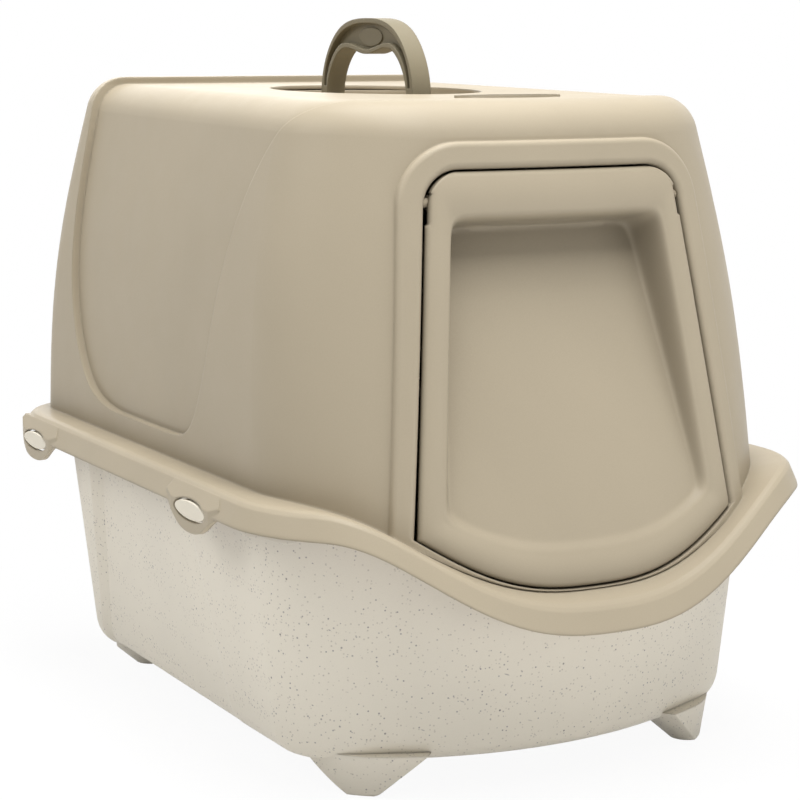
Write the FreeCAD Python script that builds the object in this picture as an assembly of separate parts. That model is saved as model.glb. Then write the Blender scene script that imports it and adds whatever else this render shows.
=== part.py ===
import FreeCAD
import Part
import math
import os
from FreeCAD import Vector as V

# Hooded cat litter box, in mm. Front is -Y, left is -X, the feet stand on Z = 0.

os.makedirs("parts", exist_ok=True)

# Overall sizes
WIDTH = 400.0          # across the lower edge of the hood's skirt
LENGTH = 540.0         # over the skirt, front to rear
RIM_Z = 186.5          # top of the flange along the sides and the rear
DIP = 62.5             # how far the flange drops at the middle of the front
HOOD_FRONT_Z = 421.0   # top of the hood at the front
HOOD_REAR_Z = 431.0    # top of the raised rear band
HANDLE_RISE = 61.0     # top of the upright handle above its hinge
TRAY_Z = 18.0          # underside of the tray's floor, above the feet

# Wall sizes and clearances
WALL = 2.6             # hood walls
TRAY_WALL = 2.8        # tray walls
RUN_GAP = 0.08         # radial clearance of a pin in its bore
DOOR_GAP = 1.6         # gap all round the flap
NEAR = 0.4             # gap between faces that pass each other
MID = 0.001            # smallest useful length

# Skirt and flange
SKIRT = 16.0           # height of the skirt
FLARE = 6.0            # how far the skirt leans out over its height
FLANGE = 27.5          # skirt's lower edge to the hood wall
FRONT_RISE = 7.5       # slope of the flange up to the hood at the front
DIP_HALF = 172.0       # half width of the dip
DIP_POWER = 1.45       # how late the dip starts to rise

# Plan shapes: half width, front, rear, front corner, front corner's turn, rear corner
HALF = WIDTH / 2
REACH = LENGTH / 2
SKIRT_PLAN = (HALF, -REACH, REACH, 95.0, 25.0, 65.0)
HOOD_LOW = (HALF - 25.0, 38.0 - REACH, REACH - 14.0, 90.0, 10.0, 36.0)
HOOD_MID = (HALF - 34.0, 61.5 - REACH, REACH - 18.0, 83.0, 8.0, 36.0)
HOOD_HIGH = (HALF - 57.0, 83.0 - REACH, REACH - 28.0, 75.0, 6.0, 36.0)
LOW_Z = RIM_Z + 1.5
HIGH_Z = HOOD_FRONT_Z
MID_Z = LOW_Z + 0.5236 * (HIGH_Z - LOW_Z)
TOP_ROUND = 27.0       # rounding between the hood's walls and its top
PANEL_DEPTH = 5.5      # how far the side panels lie back
PANEL_DROP = 5.0       # how far the top panel lies below the rear band
PANEL_FRONT_DROP = 1.0 # the same at the front

# Doorway and flap
DOOR_LOW_HALF = 113.5
DOOR_LOW_Z = RIM_Z - 14.5
DOOR_HIGH_HALF = 91.5
DOOR_TOP_Z = HOOD_FRONT_Z - 40.0
DOOR_ROUND = 25.0
DOOR_HIGH_Z = DOOR_TOP_Z - DOOR_ROUND
DOOR_SLOPE = (DOOR_LOW_HALF - DOOR_HIGH_HALF) / (DOOR_HIGH_Z - DOOR_LOW_Z)
DOOR_SILL_RISE = 7.0   # sill above the edge of the flange
BEAD = 16.5            # width of the raised frame
BEAD_RAISE = 4.5       # how far the frame stands out
BEAD_ROUND = 3.6       # rounding of the frame's edges
FRAME_LAP = 3.0        # strip where the frame alone closes the wall
FRAME_SINK = 0.5       # frame's back inside the wall's inner face
EAR_COVER = 0.8        # hinge boss below the hood's face
EAR_BACK = 0.3         # hinge boss behind the jamb
FLAP_T = 2.6
FLAP_BACK = 1.0        # flap's face behind the frame's face
FLAP_AXIS_Z = DOOR_TOP_Z - 19.0
BAND_SIDE = 9.0        # flat border of the flap at its sides
BAND_TOP = 21.0
BAND_LOW = 20.0
DISH_DEPTH = 27.0      # at the top of the dish
DISH_SHALLOW = 2.5     # at its foot
DISH_ROLL = 22.0       # width of the soft roll into the deepest part
DISH_BLEND = 0.10      # how tightly the roll turns its corners, per mm
NOTCH_TALL = 17.0      # slot beside each hinge pin
NOTCH_WIDE = 2.4
PIN_R = 3.0
PIN_OUT = 9.0          # pin beyond the flap
PIN_IN = 8.0           # pin inside the flap

# Snap studs in the skirt
STUD_FRONT_Y = 177.0 - REACH
STUD_REAR_Y = REACH - 79.0
STUD_Z = RIM_Z - SKIRT - 1.0
STUD_LONG = 46.0
STUD_TALL = 11.5
STUD_GAP = 1.2
LOBE_HALF = 33.0
LOBE_DROP = 15.0
LOBE_T = 3.4

# Handle and its recess
HANDLE_Y = 40.0
HANDLE_SPAN = 134.0    # over the legs
HANDLE_WIDE = 14.0
RECESS_LONG = HANDLE_SPAN + 50.0
RECESS_WIDE = 2 * (HANDLE_RISE + 6.0)
RECESS_FLOOR_Z = HOOD_FRONT_Z - 22.0
HANDLE_AXIS_Z = RECESS_FLOOR_Z + HANDLE_WIDE / 2 + 5.0
LUG_T = 7.0
LUG_GAP = 1.5

# Plain oval on top
PLAQUE_Y = HOOD_HIGH[1] + 48.0
PLAQUE_LONG = 25.0
PLAQUE_WIDE = 76.0

# Filter under the recess
PAD = (72.0, 112.0, 8.0)
VENTS = 7

LEGS = (0.0, 0.12, 0.26, 0.56, 0.80, 1.0)   # rear line, rear corner, side, front corner, front
FAR = 700.0


def smooth(u):
    u = max(0.0, min(1.0, u))
    return u * u * (3 - 2 * u)


def lift(x):
    """How much of the dip is left behind at a distance x from the middle, 0 to 1."""
    return smooth(min(1.0, abs(x) / DIP_HALF) ** DIP_POWER)


def edge_z(x):
    return RIM_Z - DIP * (1 - lift(x))


def inset(plan, d):
    w, front, rear, rc, turn, rr = plan
    return (w - d, front + d, rear - d, rc - d, turn, rr - d)


def between(p, q, s):
    return tuple(a + (b - a) * s for a, b in zip(p, q))


def hood_plan(z):
    if z <= MID_Z:
        return between(HOOD_LOW, HOOD_MID, (z - LOW_Z) / (MID_Z - LOW_Z))
    return between(HOOD_MID, HOOD_HIGH, (z - MID_Z) / (HIGH_Z - MID_Z))


def front_arc(plan):
    """Radius and centre of the front arc, and where the front corner's centre lies in Y."""
    w, front, rear, rc, turn, rr = plan
    a = math.radians(turn)
    radius = (w - rc) / math.sin(a) + rc
    cy = front + radius
    return radius, cy, cy - (radius - rc) * math.cos(a)


def face_y(z, x):
    """Y of the hood's front face."""
    radius, cy, _ = front_arc(hood_plan(z))
    return cy - math.sqrt(radius * radius - x * x)


def station(plan, t):
    """A point of the plan's left half, rear middle to front middle, and the way out of it."""
    w, front, rear, rc, turn, rr = plan
    radius, cy, corner_y = front_arc(plan)
    leg = 0
    while leg < 4 and t > LEGS[leg + 1]:
        leg = leg + 1
    s = (t - LEGS[leg]) / (LEGS[leg + 1] - LEGS[leg])
    if leg == 0:
        return V(-(w - rr) * s, rear, 0), V(0, 1, 0)
    if leg == 2:
        return V(-w, rear - rr + (corner_y - rear + rr) * s, 0), V(-1, 0, 0)
    if leg == 1:
        centre, r, a = V(-(w - rr), rear - rr, 0), rr, 90 + 90 * s
    elif leg == 3:
        centre, r, a = V(-(w - rc), corner_y, 0), rc, 180 + (90 - turn) * s
    else:
        centre, r, a = V(0, cy, 0), radius, 270 - turn * (1 - s)
    out = V(math.cos(math.radians(a)), math.sin(math.radians(a)), 0)
    return centre + out * r, out


def flip(v):
    return V(-v.x, v.y, v.z)


def arc(a, b, c):
    return Part.Arc(a, b, c).toShape()


def spline(points):
    curve = Part.BSplineCurve()
    curve.interpolate(points)
    return curve.toShape()


def path(points):
    return [Part.makeLine(a, b) for a, b in zip(points[:-1], points[1:])]


def outline(plan, z):
    """Closed outline of a plan at one height."""
    def at(t):
        return station(plan, t)[0] + V(0, 0, z)
    a, b, c, d, e = [at(t) for t in LEGS[1:]]
    rear_mid = at((LEGS[1] + LEGS[2]) / 2)
    front_mid = at((LEGS[3] + LEGS[4]) / 2)
    return Part.Wire([
        Part.makeLine(flip(a), a),
        arc(a, rear_mid, b),
        Part.makeLine(b, c),
        arc(c, front_mid, d),
        arc(d, e, flip(d)),
        arc(flip(d), flip(front_mid), flip(c)),
        Part.makeLine(flip(c), flip(b)),
        arc(flip(b), flip(rear_mid), flip(a)),
    ])


def prism(wire, along):
    return Part.Face(wire).extrude(along)


def fuse(shapes):
    shape = shapes[0].fuse(shapes[1:])
    return shape.removeSplitter()


def ellipse_z(cx, cy, z, long_y, wide_x, tall):
    """Upright elliptic cylinder."""
    ends = (V(cx, cy + long_y / 2, z), V(cx + wide_x / 2, cy, z))
    if wide_x > long_y:
        ends = (ends[1], ends[0])
    curve = Part.Ellipse(ends[0], ends[1], V(cx, cy, z))
    return prism(Part.Wire(curve.toShape()), V(0, 0, tall))


def ellipse_x(x, cy, cz, long_y, tall_z, along):
    """Elliptic cylinder that runs along X."""
    curve = Part.Ellipse(V(x, cy + long_y / 2, cz), V(x, cy, cz + tall_z / 2), V(x, cy, cz))
    return prism(Part.Wire(curve.toShape()), V(along, 0, 0))


def box(x0, x1, y0, y1, z0, z1):
    return Part.makeBox(x1 - x0, y1 - y0, z1 - z0, V(x0, y0, z0))


def rod_x(x0, x1, y, z, r):
    return Part.makeCylinder(r, x1 - x0, V(x0, y, z), V(1, 0, 0))


def rod_y(y0, y1, x, z, r):
    return Part.makeCylinder(r, y1 - y0, V(x, y0, z), V(0, 1, 0))


def mirrored(shape):
    return shape.mirror(V(0, 0, 0), V(1, 0, 0))


def steps(a, b, n):
    return [a + (b - a) * i / n for i in range(n + 1)]


SIDE = [LEGS[2], LEGS[3]]
ROUND_REAR = steps(LEGS[1], LEGS[2], 7)
ROUND_FRONT = steps(LEGS[3], LEGS[4], 9) + steps(LEGS[4], LEGS[5], 12)[1:]


def half_loft(section, side=SIDE):
    """Solid through sections along the left half, joined to its mirror image."""
    runs = [(LEGS[:2], True), (ROUND_REAR, False), (side, True), (ROUND_FRONT, False)]
    shapes = [Part.makeLoft([section(t) for t in run], True, ruled) for run, ruled in runs]
    half = fuse(shapes)
    return fuse([half, mirrored(half)])


# Hood: flange and skirt

def rim_section(t):
    reach = FLANGE + 1.0
    if LEGS[3] < t < LEGS[4]:
        reach = reach + 6 * math.sin(math.pi * (t - LEGS[3]) / (LEGS[4] - LEGS[3]))

    def at(d, up, sloped):
        q = station(inset(SKIRT_PLAN, d), t)[0]
        z = RIM_Z
        rise = 0.0
        if q.y < 0:
            z = edge_z(q.x)
            rise = FRONT_RISE * (1 - lift(q.x)) * sloped
        return V(q.x, q.y, z + up + rise)
    top = [at(reach, 0, 1), at(FLARE + 4.5, 0, 0.2), at(FLARE + 1.6, -0.9, 0.05),
           at(FLARE - 0.6, -3.0, 0), at(0.6, 2 - SKIRT, 0)]
    low = [at(0, -SKIRT, 0), at(WALL, -SKIRT, 0), at(FLARE + WALL, -WALL, 0), at(reach, -WALL, 1)]
    ring = top + low
    return Part.Wire(path(ring + [ring[0]]))


def make_rim():
    return half_loft(rim_section)


# Hood: body

def hood_loft(d):
    levels = (RIM_Z - DIP - 24.0, LOW_Z, MID_Z, HIGH_Z, HOOD_REAR_Z + 19.0)
    return Part.makeLoft([outline(inset(hood_plan(z), d), z) for z in levels], True, False)


def tilted(z_front, z_rear):
    """Height of a plane that rises from the hood's front to its rear."""
    y0 = HOOD_HIGH[1]
    y1 = HOOD_HIGH[2]
    return lambda y: z_front + (z_rear - z_front) * (y - y0) / (y1 - y0)


def hood_solid(d, z_front, z_rear, radius):
    """Hood shape drawn in by d, with its top cut to a slope and rounded."""
    top = tilted(z_front, z_rear)
    corners = [V(-FAR, -FAR, top(-FAR)), V(-FAR, FAR, top(FAR)), V(-FAR, FAR, FAR), V(-FAR, -FAR, FAR)]
    wire = Part.makePolygon(corners + [corners[0]])
    shape = hood_loft(d).cut(prism(wire, V(2 * FAR, 0, 0)))
    edges = [e for e in shape.Edges if all(abs(v.Z - top(v.Y)) < 0.01 for v in e.Vertexes)]
    return shape.makeFillet(radius, edges)


def under_flange(drop):
    """Everything below the flange's top surface less a drop."""
    half = WIDTH
    xs = [-DIP_HALF + 2 * DIP_HALF * i / 32 for i in range(33)]

    def top(x):
        return edge_z(x) + FRONT_RISE * (1 - lift(x)) - drop
    curve = spline([V(x, -FAR, top(x)) for x in xs])
    flat = RIM_Z - drop
    rest = [V(DIP_HALF, -FAR, flat), V(half, -FAR, flat), V(half, -FAR, -10)]
    rest = rest + [V(-half, -FAR, -10), V(-half, -FAR, flat), V(-DIP_HALF, -FAR, flat)]
    front = prism(Part.Wire([curve] + path(rest)), V(0, FAR, 0))
    return fuse([front, box(-half, half, -MID, FAR, -10, flat)])


# Side panels: their edge in side view, from the front's S-curve under the panel to the rear band,
# as shares of the half length and of the height from the panel's foot to the hood's top
PANEL_FOOT = 15.5
PANEL_EDGE = ((-0.611, 1.0), (-0.481, 0.951), (-0.385, 0.848), (-0.289, 0.641), (-0.230, 0.372),
              (-0.176, 0.130), (-0.115, 0.028), (0.0, 0.0), (0.19, 0.0), (0.39, 0.004),
              (0.541, 0.055), (0.652, 0.215), (0.728, 0.529), (0.759, 1.0))


def panel_prism(grow):
    """Side view of the panels run through the whole width, grown by a wall."""
    low = RIM_Z + PANEL_FOOT
    tall = HOOD_FRONT_Z + 4.0 - low
    points = [V(-FAR, y * REACH, low + z * tall) for y, z in PANEL_EDGE]
    last = len(points) - 1
    moved = []
    for i, q in enumerate(points):
        along = points[min(i + 1, last)] - points[max(i - 1, 0)]
        moved.append(q + V(0, along.z, -along.y).normalize() * grow)
    lid = [moved[-1], V(-FAR, moved[-1].y, FAR), V(-FAR, moved[0].y, FAR), moved[0]]
    return prism(Part.Wire([spline(moved)] + path(lid)), V(2 * FAR, 0, 0))


def hood_form(d):
    """Hood with its lowered panels, drawn in by d."""
    proud = hood_solid(d, HOOD_FRONT_Z - d, HOOD_REAR_Z - d, TOP_ROUND - d)
    front = HOOD_FRONT_Z - PANEL_FRONT_DROP - d
    low = hood_solid(PANEL_DEPTH + d, front, HOOD_REAR_Z - PANEL_DROP - d, TOP_ROUND - 2 - d)
    return proud.cut(panel_prism(d).cut(low))


# Doorway

def corner(a, k, b, r):
    """Ends and middle of the arc that rounds the corner k between a and b."""
    u = (a - k).normalize()
    v = (b - k).normalize()
    half = math.acos(max(-1.0, min(1.0, u.dot(v)))) / 2
    mid = (u + v).normalize()
    reach = r / math.tan(half)
    return k + u * reach, k + mid * (r / math.sin(half) - r), k + v * reach


def door_wire(d, depth, round_top, sill=0.0):
    """Doorway outline drawn in by d, on the leaning front, moved back by depth."""
    lean = (HOOD_HIGH[1] - HOOD_LOW[1]) / (HIGH_Z - LOW_Z)

    def put(x, z):
        return V(x, HOOD_LOW[1] + lean * (z - LOW_Z) + depth, z)

    def side(z):
        s = (z - DOOR_LOW_Z) / (DOOR_HIGH_Z - DOOR_LOW_Z)
        return DOOR_LOW_HALF + (DOOR_HIGH_HALF - DOOR_LOW_HALF) * s - d
    low_x = side(DOOR_LOW_Z)

    def sill_z(x):
        return edge_z(x) + DOOR_SILL_RISE + d + sill
    top_z = DOOR_TOP_Z - d
    foot = put(low_x, sill_z(low_x))
    start, mid, end = corner(foot, put(side(top_z), top_z), put(0, top_z), round_top)
    low = spline([put(low_x * i / 8, sill_z(low_x * i / 8)) for i in range(-8, 9)])
    return Part.Wire([
        low,
        Part.makeLine(foot, start),
        arc(start, mid, end),
        Part.makeLine(end, flip(end)),
        arc(flip(end), flip(mid), flip(start)),
        Part.makeLine(flip(start), flip(foot)),
    ])


def door_prism(d, round_top, sill=0.0, slope=0.0):
    """Doorway block through the front, drawn in by d; slope draws it in further with depth."""
    span = 70.0
    wires = [door_wire(d - span * slope, -span, round_top, sill),
             door_wire(d + span * slope, span, round_top, sill)]
    return Part.makeLoft(wires, True, True)


JAMB_X = DOOR_HIGH_HALF - (FLAP_AXIS_Z - DOOR_HIGH_Z) * DOOR_SLOPE
FLAP_AXIS_Y = face_y(FLAP_AXIS_Z, JAMB_X) - BEAD_RAISE + FLAP_BACK + PIN_R + 2.2


def lies_on(edge, shell):
    """Whether an edge runs along a shell."""
    if edge.Length < 0.5:
        return False
    a, b = edge.ParameterRange
    points = [edge.valueAt(a + (b - a) * s) for s in (0.25, 0.5, 0.75)]
    return all(Part.Vertex(q).distToShape(shell)[0] < 0.02 for q in points)


def make_frame():
    """Raised frame round the doorway with rounded edges."""
    front = hood_loft(-BEAD_RAISE)
    outer = door_prism(-BEAD, DOOR_ROUND + BEAD, -20.0)
    inner = door_prism(0.0, DOOR_ROUND)
    shape = front.common(outer).cut(inner)
    skin = Part.makeShell(front.Faces)
    walls = [Part.makeShell(solid.Faces) for solid in (outer, inner)]
    edges = [e for e in shape.Edges if e.BoundBox.YMax < 0 and lies_on(e, skin)]
    edges = [e for e in edges if e.BoundBox.ZMax > RIM_Z and any(lies_on(e, wall) for wall in walls)]
    shape = shape.makeFillet(BEAD_ROUND, edges)
    keep = box(-FAR, FAR, -FAR, 0, 0, DOOR_TOP_Z + BEAD + 12)
    return shape.cut(hood_form(WALL + FRAME_SINK)).common(keep)


def make_hood():
    skin = hood_form(0.0).cut(hood_form(WALL)).cut(door_prism(-FRAME_LAP, DOOR_ROUND + FRAME_LAP))
    raised = make_frame()
    ears = []
    for x0 in (-JAMB_X - PIN_OUT - 5, JAMB_X - 3):
        ear = rod_x(x0, x0 + PIN_OUT + 8, FLAP_AXIS_Y, FLAP_AXIS_Z, PIN_R + 3)
        ears.append(ear.common(hood_loft(EAR_COVER)).cut(door_prism(-EAR_BACK, DOOR_ROUND + EAR_BACK)))
    body = fuse([skin, raised] + ears).cut(under_flange(1.0))
    rim = make_rim().cut(door_prism(0.0, DOOR_ROUND))
    body = fuse([body, rim] + [lobe(s, y) for s in (-1, 1) for y in (STUD_FRONT_Y, STUD_REAR_Y)])
    bore = rod_x(-JAMB_X - PIN_OUT - 1, JAMB_X + PIN_OUT + 1, FLAP_AXIS_Y, FLAP_AXIS_Z, PIN_R + RUN_GAP)
    body = body.cut([bore] + [window(s, y) for s in (-1, 1) for y in (STUD_FRONT_Y, STUD_REAR_Y)])
    return fuse([body.cut(recess_cut()), recess_cup(), plaque()])


def plaque():
    """Plain raised oval on top, near the front."""
    z = tilted(HOOD_FRONT_Z, HOOD_REAR_Z)(PLAQUE_Y)
    rim = ellipse_z(0, PLAQUE_Y, z - 2.2, PLAQUE_LONG, PLAQUE_WIDE, 3.4)
    return rim.cut(ellipse_z(0, PLAQUE_Y, z + 0.5, PLAQUE_LONG - 4, PLAQUE_WIDE - 4, 5))


def lobe(side, y):
    """Rounded tab of the skirt around a stud, sloped into the flange's edge."""
    low = RIM_Z - SKIRT
    face = WIDTH / 2 + 0.4
    h = LOBE_HALF
    shape = ((-h - 12, low + 0.2), (-h, low - 3), (-h * 0.55, low - LOBE_DROP + 3.2), (0, low - LOBE_DROP),
             (h * 0.55, low - LOBE_DROP + 3.2), (h, low - 3), (h + 12, low + 0.2))
    points = [V(-FAR, y + a, b) for a, b in shape]
    crown = [points[-1], V(-FAR, y + h, RIM_Z), V(-FAR, y - h, RIM_Z), points[0]]
    block = prism(Part.Wire([spline(points)] + path(crown)), V(2 * FAR, 0, 0))
    turn = STUD_Z + STUD_TALL / 2 - 1.2
    top = RIM_Z - 2.6
    inner = face - LOBE_T
    shoulder = face - FLARE
    profile = [(face, 0), (face, turn), (shoulder, top), (inner - FLARE, top), (inner, turn), (inner, 0)]
    corners = [V(side * x, -FAR, z) for x, z in profile]
    pad = prism(Part.makePolygon(corners + [corners[0]]), V(0, 2 * FAR, 0))
    plan = prism(outline(inset(SKIRT_PLAN, -0.4), 0), V(0, 0, FAR))
    half = [(face, h - 4), (face - 3, h + 13), (inner - 12, h + 26)]
    slim = [(a, -b) for a, b in reversed(half)] + half
    corners = [V(side * a, y + b, 0) for a, b in slim]
    faded = prism(Part.makePolygon(corners + [corners[0]]), V(0, 0, FAR))
    return block.common(pad).common(plan).common(faded)


def window(side, y):
    x = side * (WIDTH / 2 + 5)
    return ellipse_x(x, y, STUD_Z, STUD_LONG + 2 * STUD_GAP, STUD_TALL + 2 * STUD_GAP, -side * 16)


# Recess with the handle's bearings and the vents

VENT_SPAN = 84.0
VENT_HALF = 26.0
RAIL_HALF = PAD[1] / 2 + 2.0
RAIL_DROP = PAD[2] + 2.5       # top of the rails' feet below the recess


def slab(a, b, y0, y1, z0, z1):
    """Box whose two X values may come in either order."""
    return box(min(a, b), max(a, b), y0, y1, z0, z1)


def rod_between(y0, y1, z, r):
    """Rod along Y in the middle plane whose two ends may come in either order."""
    return rod_y(min(y0, y1), max(y0, y1), 0, z, r)


def recess_cut():
    return ellipse_z(0, HANDLE_Y, RECESS_FLOOR_Z, RECESS_LONG, RECESS_WIDE, 80)


def recess_cup():
    tall = HOOD_FRONT_Z - RECESS_FLOOR_Z
    grow = 2 * WALL
    under = RECESS_FLOOR_Z - WALL
    cup = ellipse_z(0, HANDLE_Y, under, RECESS_LONG + grow, RECESS_WIDE + grow, tall + WALL)
    cup = cup.cut(recess_cut())
    for y in steps(HANDLE_Y - VENT_SPAN / 2, HANDLE_Y + VENT_SPAN / 2, VENTS - 1):
        cup = cup.cut(box(-VENT_HALF, VENT_HALF, y - 2, y + 2, under - 1, RECESS_FLOOR_Z + 1))
    r = HANDLE_WIDE / 2 - 1
    added = []
    for s in (-1, 1):
        y0 = HANDLE_Y + s * (HANDLE_SPAN / 2 + LUG_GAP)
        y1 = y0 + s * LUG_T
        added.append(rod_between(y0, y1, HANDLE_AXIS_Z, r))
        added.append(box(-r, r, min(y0, y1), max(y0, y1), RECESS_FLOOR_Z - 1, HANDLE_AXIS_Z))
        web = s * (PAD[0] / 2 + 6.5)
        foot = s * (PAD[0] / 2 + 2.6)
        ends = (HANDLE_Y - RAIL_HALF, HANDLE_Y + RAIL_HALF)
        added.append(slab(web, web + s * 2.2, ends[0], ends[1], under - RAIL_DROP - 2, under + 1))
        added.append(slab(foot, web, ends[0], ends[1], under - RAIL_DROP - 2, under - RAIL_DROP))
    half = HANDLE_SPAN / 2 + LUG_GAP + LUG_T + 0.5
    bore = rod_between(HANDLE_Y - half, HANDLE_Y + half, HANDLE_AXIS_Z, PIN_R + RUN_GAP)
    return fuse([cup] + added).cut(bore)


# Tray

TRAY_PLAN = (HALF - 10.0, 11.0 - REACH, REACH - 11.0, 105.0, 25.0, 100.0)
TRAY_LIP = 3.2         # thickness of the tray's flange
TURN_DOWN = 4.5        # the flange's turned-down edge below that
TURN_DOWN_T = 1.8
PEEP = 11.5            # how much lower that edge hangs round the front corners
SEAT = 0.15            # hood's flange above the tray's
TRAY_ROUND = 20.0      # rounding into the floor
TOP_IN = (18.0, 10.0, 30.0)    # wall's top behind the flange's edge: rear, side, front
LOW_IN = (49.0, 28.0, 47.0)    # the same at the floor
# Stations of the side: Y at the top, slant towards the floor, depth of the side panel
STEP_Y = REACH - 132.0
CREASE_Y = -30.0
TRAY_SIDE = ((STEP_Y, 0.12, 0.0), (STEP_Y - 9.0, 0.12, 7.0),
             (CREASE_Y + 6.0, -0.28, 1.6), (CREASE_Y, -0.28, 0.0))
FOOT_X = HALF - 79.0
FOOT_FRONT_Y = 96.0 - REACH
FOOT_REAR_Y = REACH - 102.0
FOOT_R = 11.5
FOOT_FLARE = 30.0


def share(values, t):
    """A value that changes smoothly from the rear to the side to the front."""
    rear, side, front = values
    back = smooth((t - LEGS[1]) / (LEGS[2] - LEGS[1]))
    fore = smooth((t - LEGS[3]) / (LEGS[4] - LEGS[3]))
    return rear + (side - rear) * back + (front - side) * fore


def peep(t):
    """Share of the lower hanging edge, full over part of the front corner."""
    s = (t - LEGS[3]) / (LEGS[4] - LEGS[3])
    return smooth(s / 0.12) * smooth((0.62 - s) / 0.12)


def tray_points(t, slant=0.0, panel=0.0):
    base, out = station(TRAY_PLAN, t)
    top = share(TOP_IN, t) + panel
    low = share(LOW_IN, t) + panel * 0.4

    def rim_z(q):
        if q.y > 0:
            return RIM_Z - WALL - SEAT
        return edge_z(q.x) - WALL - SEAT - 1.2 * (1 - lift(q.x)) - 0.8 * smooth(-q.y / 110)

    def at(d, z=None, up=0.0):
        q = base - out * d
        top_z = rim_z(q)
        if z is None:
            z = top_z + up
        return V(q.x, q.y + slant * (RIM_Z - WALL - z) * (1 if abs(slant) > 0 else 0), z)
    wall = TRAY_WALL
    down = -TRAY_LIP - TURN_DOWN - PEEP * peep(t)
    edge = [at(0), at(0, None, down), at(TURN_DOWN_T, None, down), at(TURN_DOWN_T, None, -TRAY_LIP),
            at(top, None, -TRAY_LIP)]
    knee = at(low, TRAY_Z)
    start = knee + (edge[-1] - knee).normalize() * TRAY_ROUND
    foot = at(low + TRAY_ROUND, TRAY_Z)
    end = at(low + TRAY_ROUND + 8, TRAY_Z)
    inner_top = at(top + wall)
    inner_knee = at(low + wall * 0.9, TRAY_Z + wall)
    inner_start = inner_knee + (inner_top - inner_knee).normalize() * (TRAY_ROUND - 1)
    inner_foot = foot + V(0, 0, wall)
    inner_end = end + V(0, 0, wall)
    return edge, (start, knee, foot), end, inner_end, (inner_foot, inner_knee, inner_start), inner_top


def bend(points):
    curve = Part.BezierCurve()
    curve.setPoles(list(points))
    return curve.toShape()


def tray_section(t, slant=0.0, panel=0.0):
    edge, outer, end, inner_end, inner, inner_top = tray_points(t, slant, panel)
    edges = path(edge + [outer[0]]) + [bend(outer)]
    edges = edges + path([outer[2], end, inner_end, inner[0]]) + [bend(inner)]
    return Part.Wire(edges + path([inner[2], inner_top, edge[0]]))


def tray_stations():
    """Every station of the half tray with its slant and panel depth, run by run."""
    y0 = TRAY_PLAN[2] - TRAY_PLAN[5]
    y1 = front_arc(TRAY_PLAN)[2]
    side = [(LEGS[2], 0.0, 0.0)]
    for y, slant, panel in TRAY_SIDE:
        side.append((LEGS[2] + (LEGS[3] - LEGS[2]) * (y0 - y) / (y0 - y1), slant, panel))
    side.append((LEGS[3], 0.0, 0.0))
    plain = [[(t, 0.0, 0.0) for t in run] for run in (LEGS[:2], ROUND_REAR, ROUND_FRONT)]
    return [(plain[0], True), (plain[1], False), (side, True), (plain[2], False)]


def make_tray():
    runs = tray_stations()
    half = fuse([Part.makeLoft([tray_section(*s) for s in run], True, ruled) for run, ruled in runs])
    ring = []
    for run, _ in runs:
        for s in run:
            foot = tray_points(*s)[1][2]
            end = tray_points(*s)[2]
            q = (foot + end) * 0.5
            if not ring or (q - ring[-1]).Length > MID:
                ring.append(q)
    ring = ring + [flip(q) for q in reversed(ring[1:-1])]
    floor = prism(Part.makePolygon(ring + [ring[0]]), V(0, 0, TRAY_WALL))
    shape = fuse([half, mirrored(half), floor])
    hollow = Part.makeLoft([
        outline(inset(TRAY_PLAN, LOW_IN[2] + TRAY_ROUND * 0.7), TRAY_Z + TRAY_WALL),
        outline(inset(TRAY_PLAN, LOW_IN[2] - 8), TRAY_Z + 40)], True, True)
    hull = Part.makeLoft([
        outline(inset(TRAY_PLAN, LOW_IN[2] - 3), -1),
        outline(inset(TRAY_PLAN, LOW_IN[2] - 12), TRAY_Z + 40)], True, True)
    feet = []
    for x in (-FOOT_X, FOOT_X):
        for y in (FOOT_FRONT_Y, FOOT_REAR_Y):
            cone = Part.makeCone(FOOT_R, FOOT_R + FOOT_FLARE, TRAY_Z + 8, V(x, y, 0))
            feet.append(cone.cut(hollow).common(hull))
    shape = fuse([shape] + feet)
    return shape.cut([stud_hole(s, y) for s in (-1, 1) for y in (STUD_FRONT_Y, STUD_REAR_Y)])


# Snap studs: an oval head flush with the skirt and a round shank in the tray's wall

STUD_SHANK_R = 3.6
STUD_INNER = HALF - 9.5        # inner face of the heads, just outside the tray's edge


def shank_end(y):
    """Half width at which a stud's shank ends, inside the tray's wall."""
    w, front, rear, rc, turn, rr = TRAY_PLAN
    past = y - (rear - rr)
    if past < 0:
        wall = w - TOP_IN[1]
    else:
        r = rr - (TOP_IN[0] + TOP_IN[1]) / 2
        wall = w - rr + math.sqrt(r * r - past * past)
    return wall - TRAY_WALL - 4.2


def stud_hole(side, y):
    end = shank_end(y) - 5.0
    rod = rod_x(end, HALF - 2, y, STUD_Z, STUD_SHANK_R)
    return rod if side > 0 else mirrored(rod)


def make_stud(side, y):
    face = HALF + 0.3
    head = ellipse_x(face, y, STUD_Z, STUD_LONG, STUD_TALL, STUD_INNER - face)
    rim = [e for e in head.Edges if e.BoundBox.XMin > face - 0.01]
    head = head.makeFillet(0.8, rim)
    stud = fuse([head, rod_x(shank_end(y), STUD_INNER + MID, y, STUD_Z, STUD_SHANK_R)])
    return stud if side > 0 else mirrored(stud)


# Flap

def soft_least(values):
    """About the least of some values, blended where two are close."""
    return -math.log(sum(math.exp(-DISH_BLEND * v) for v in values)) / DISH_BLEND


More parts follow.
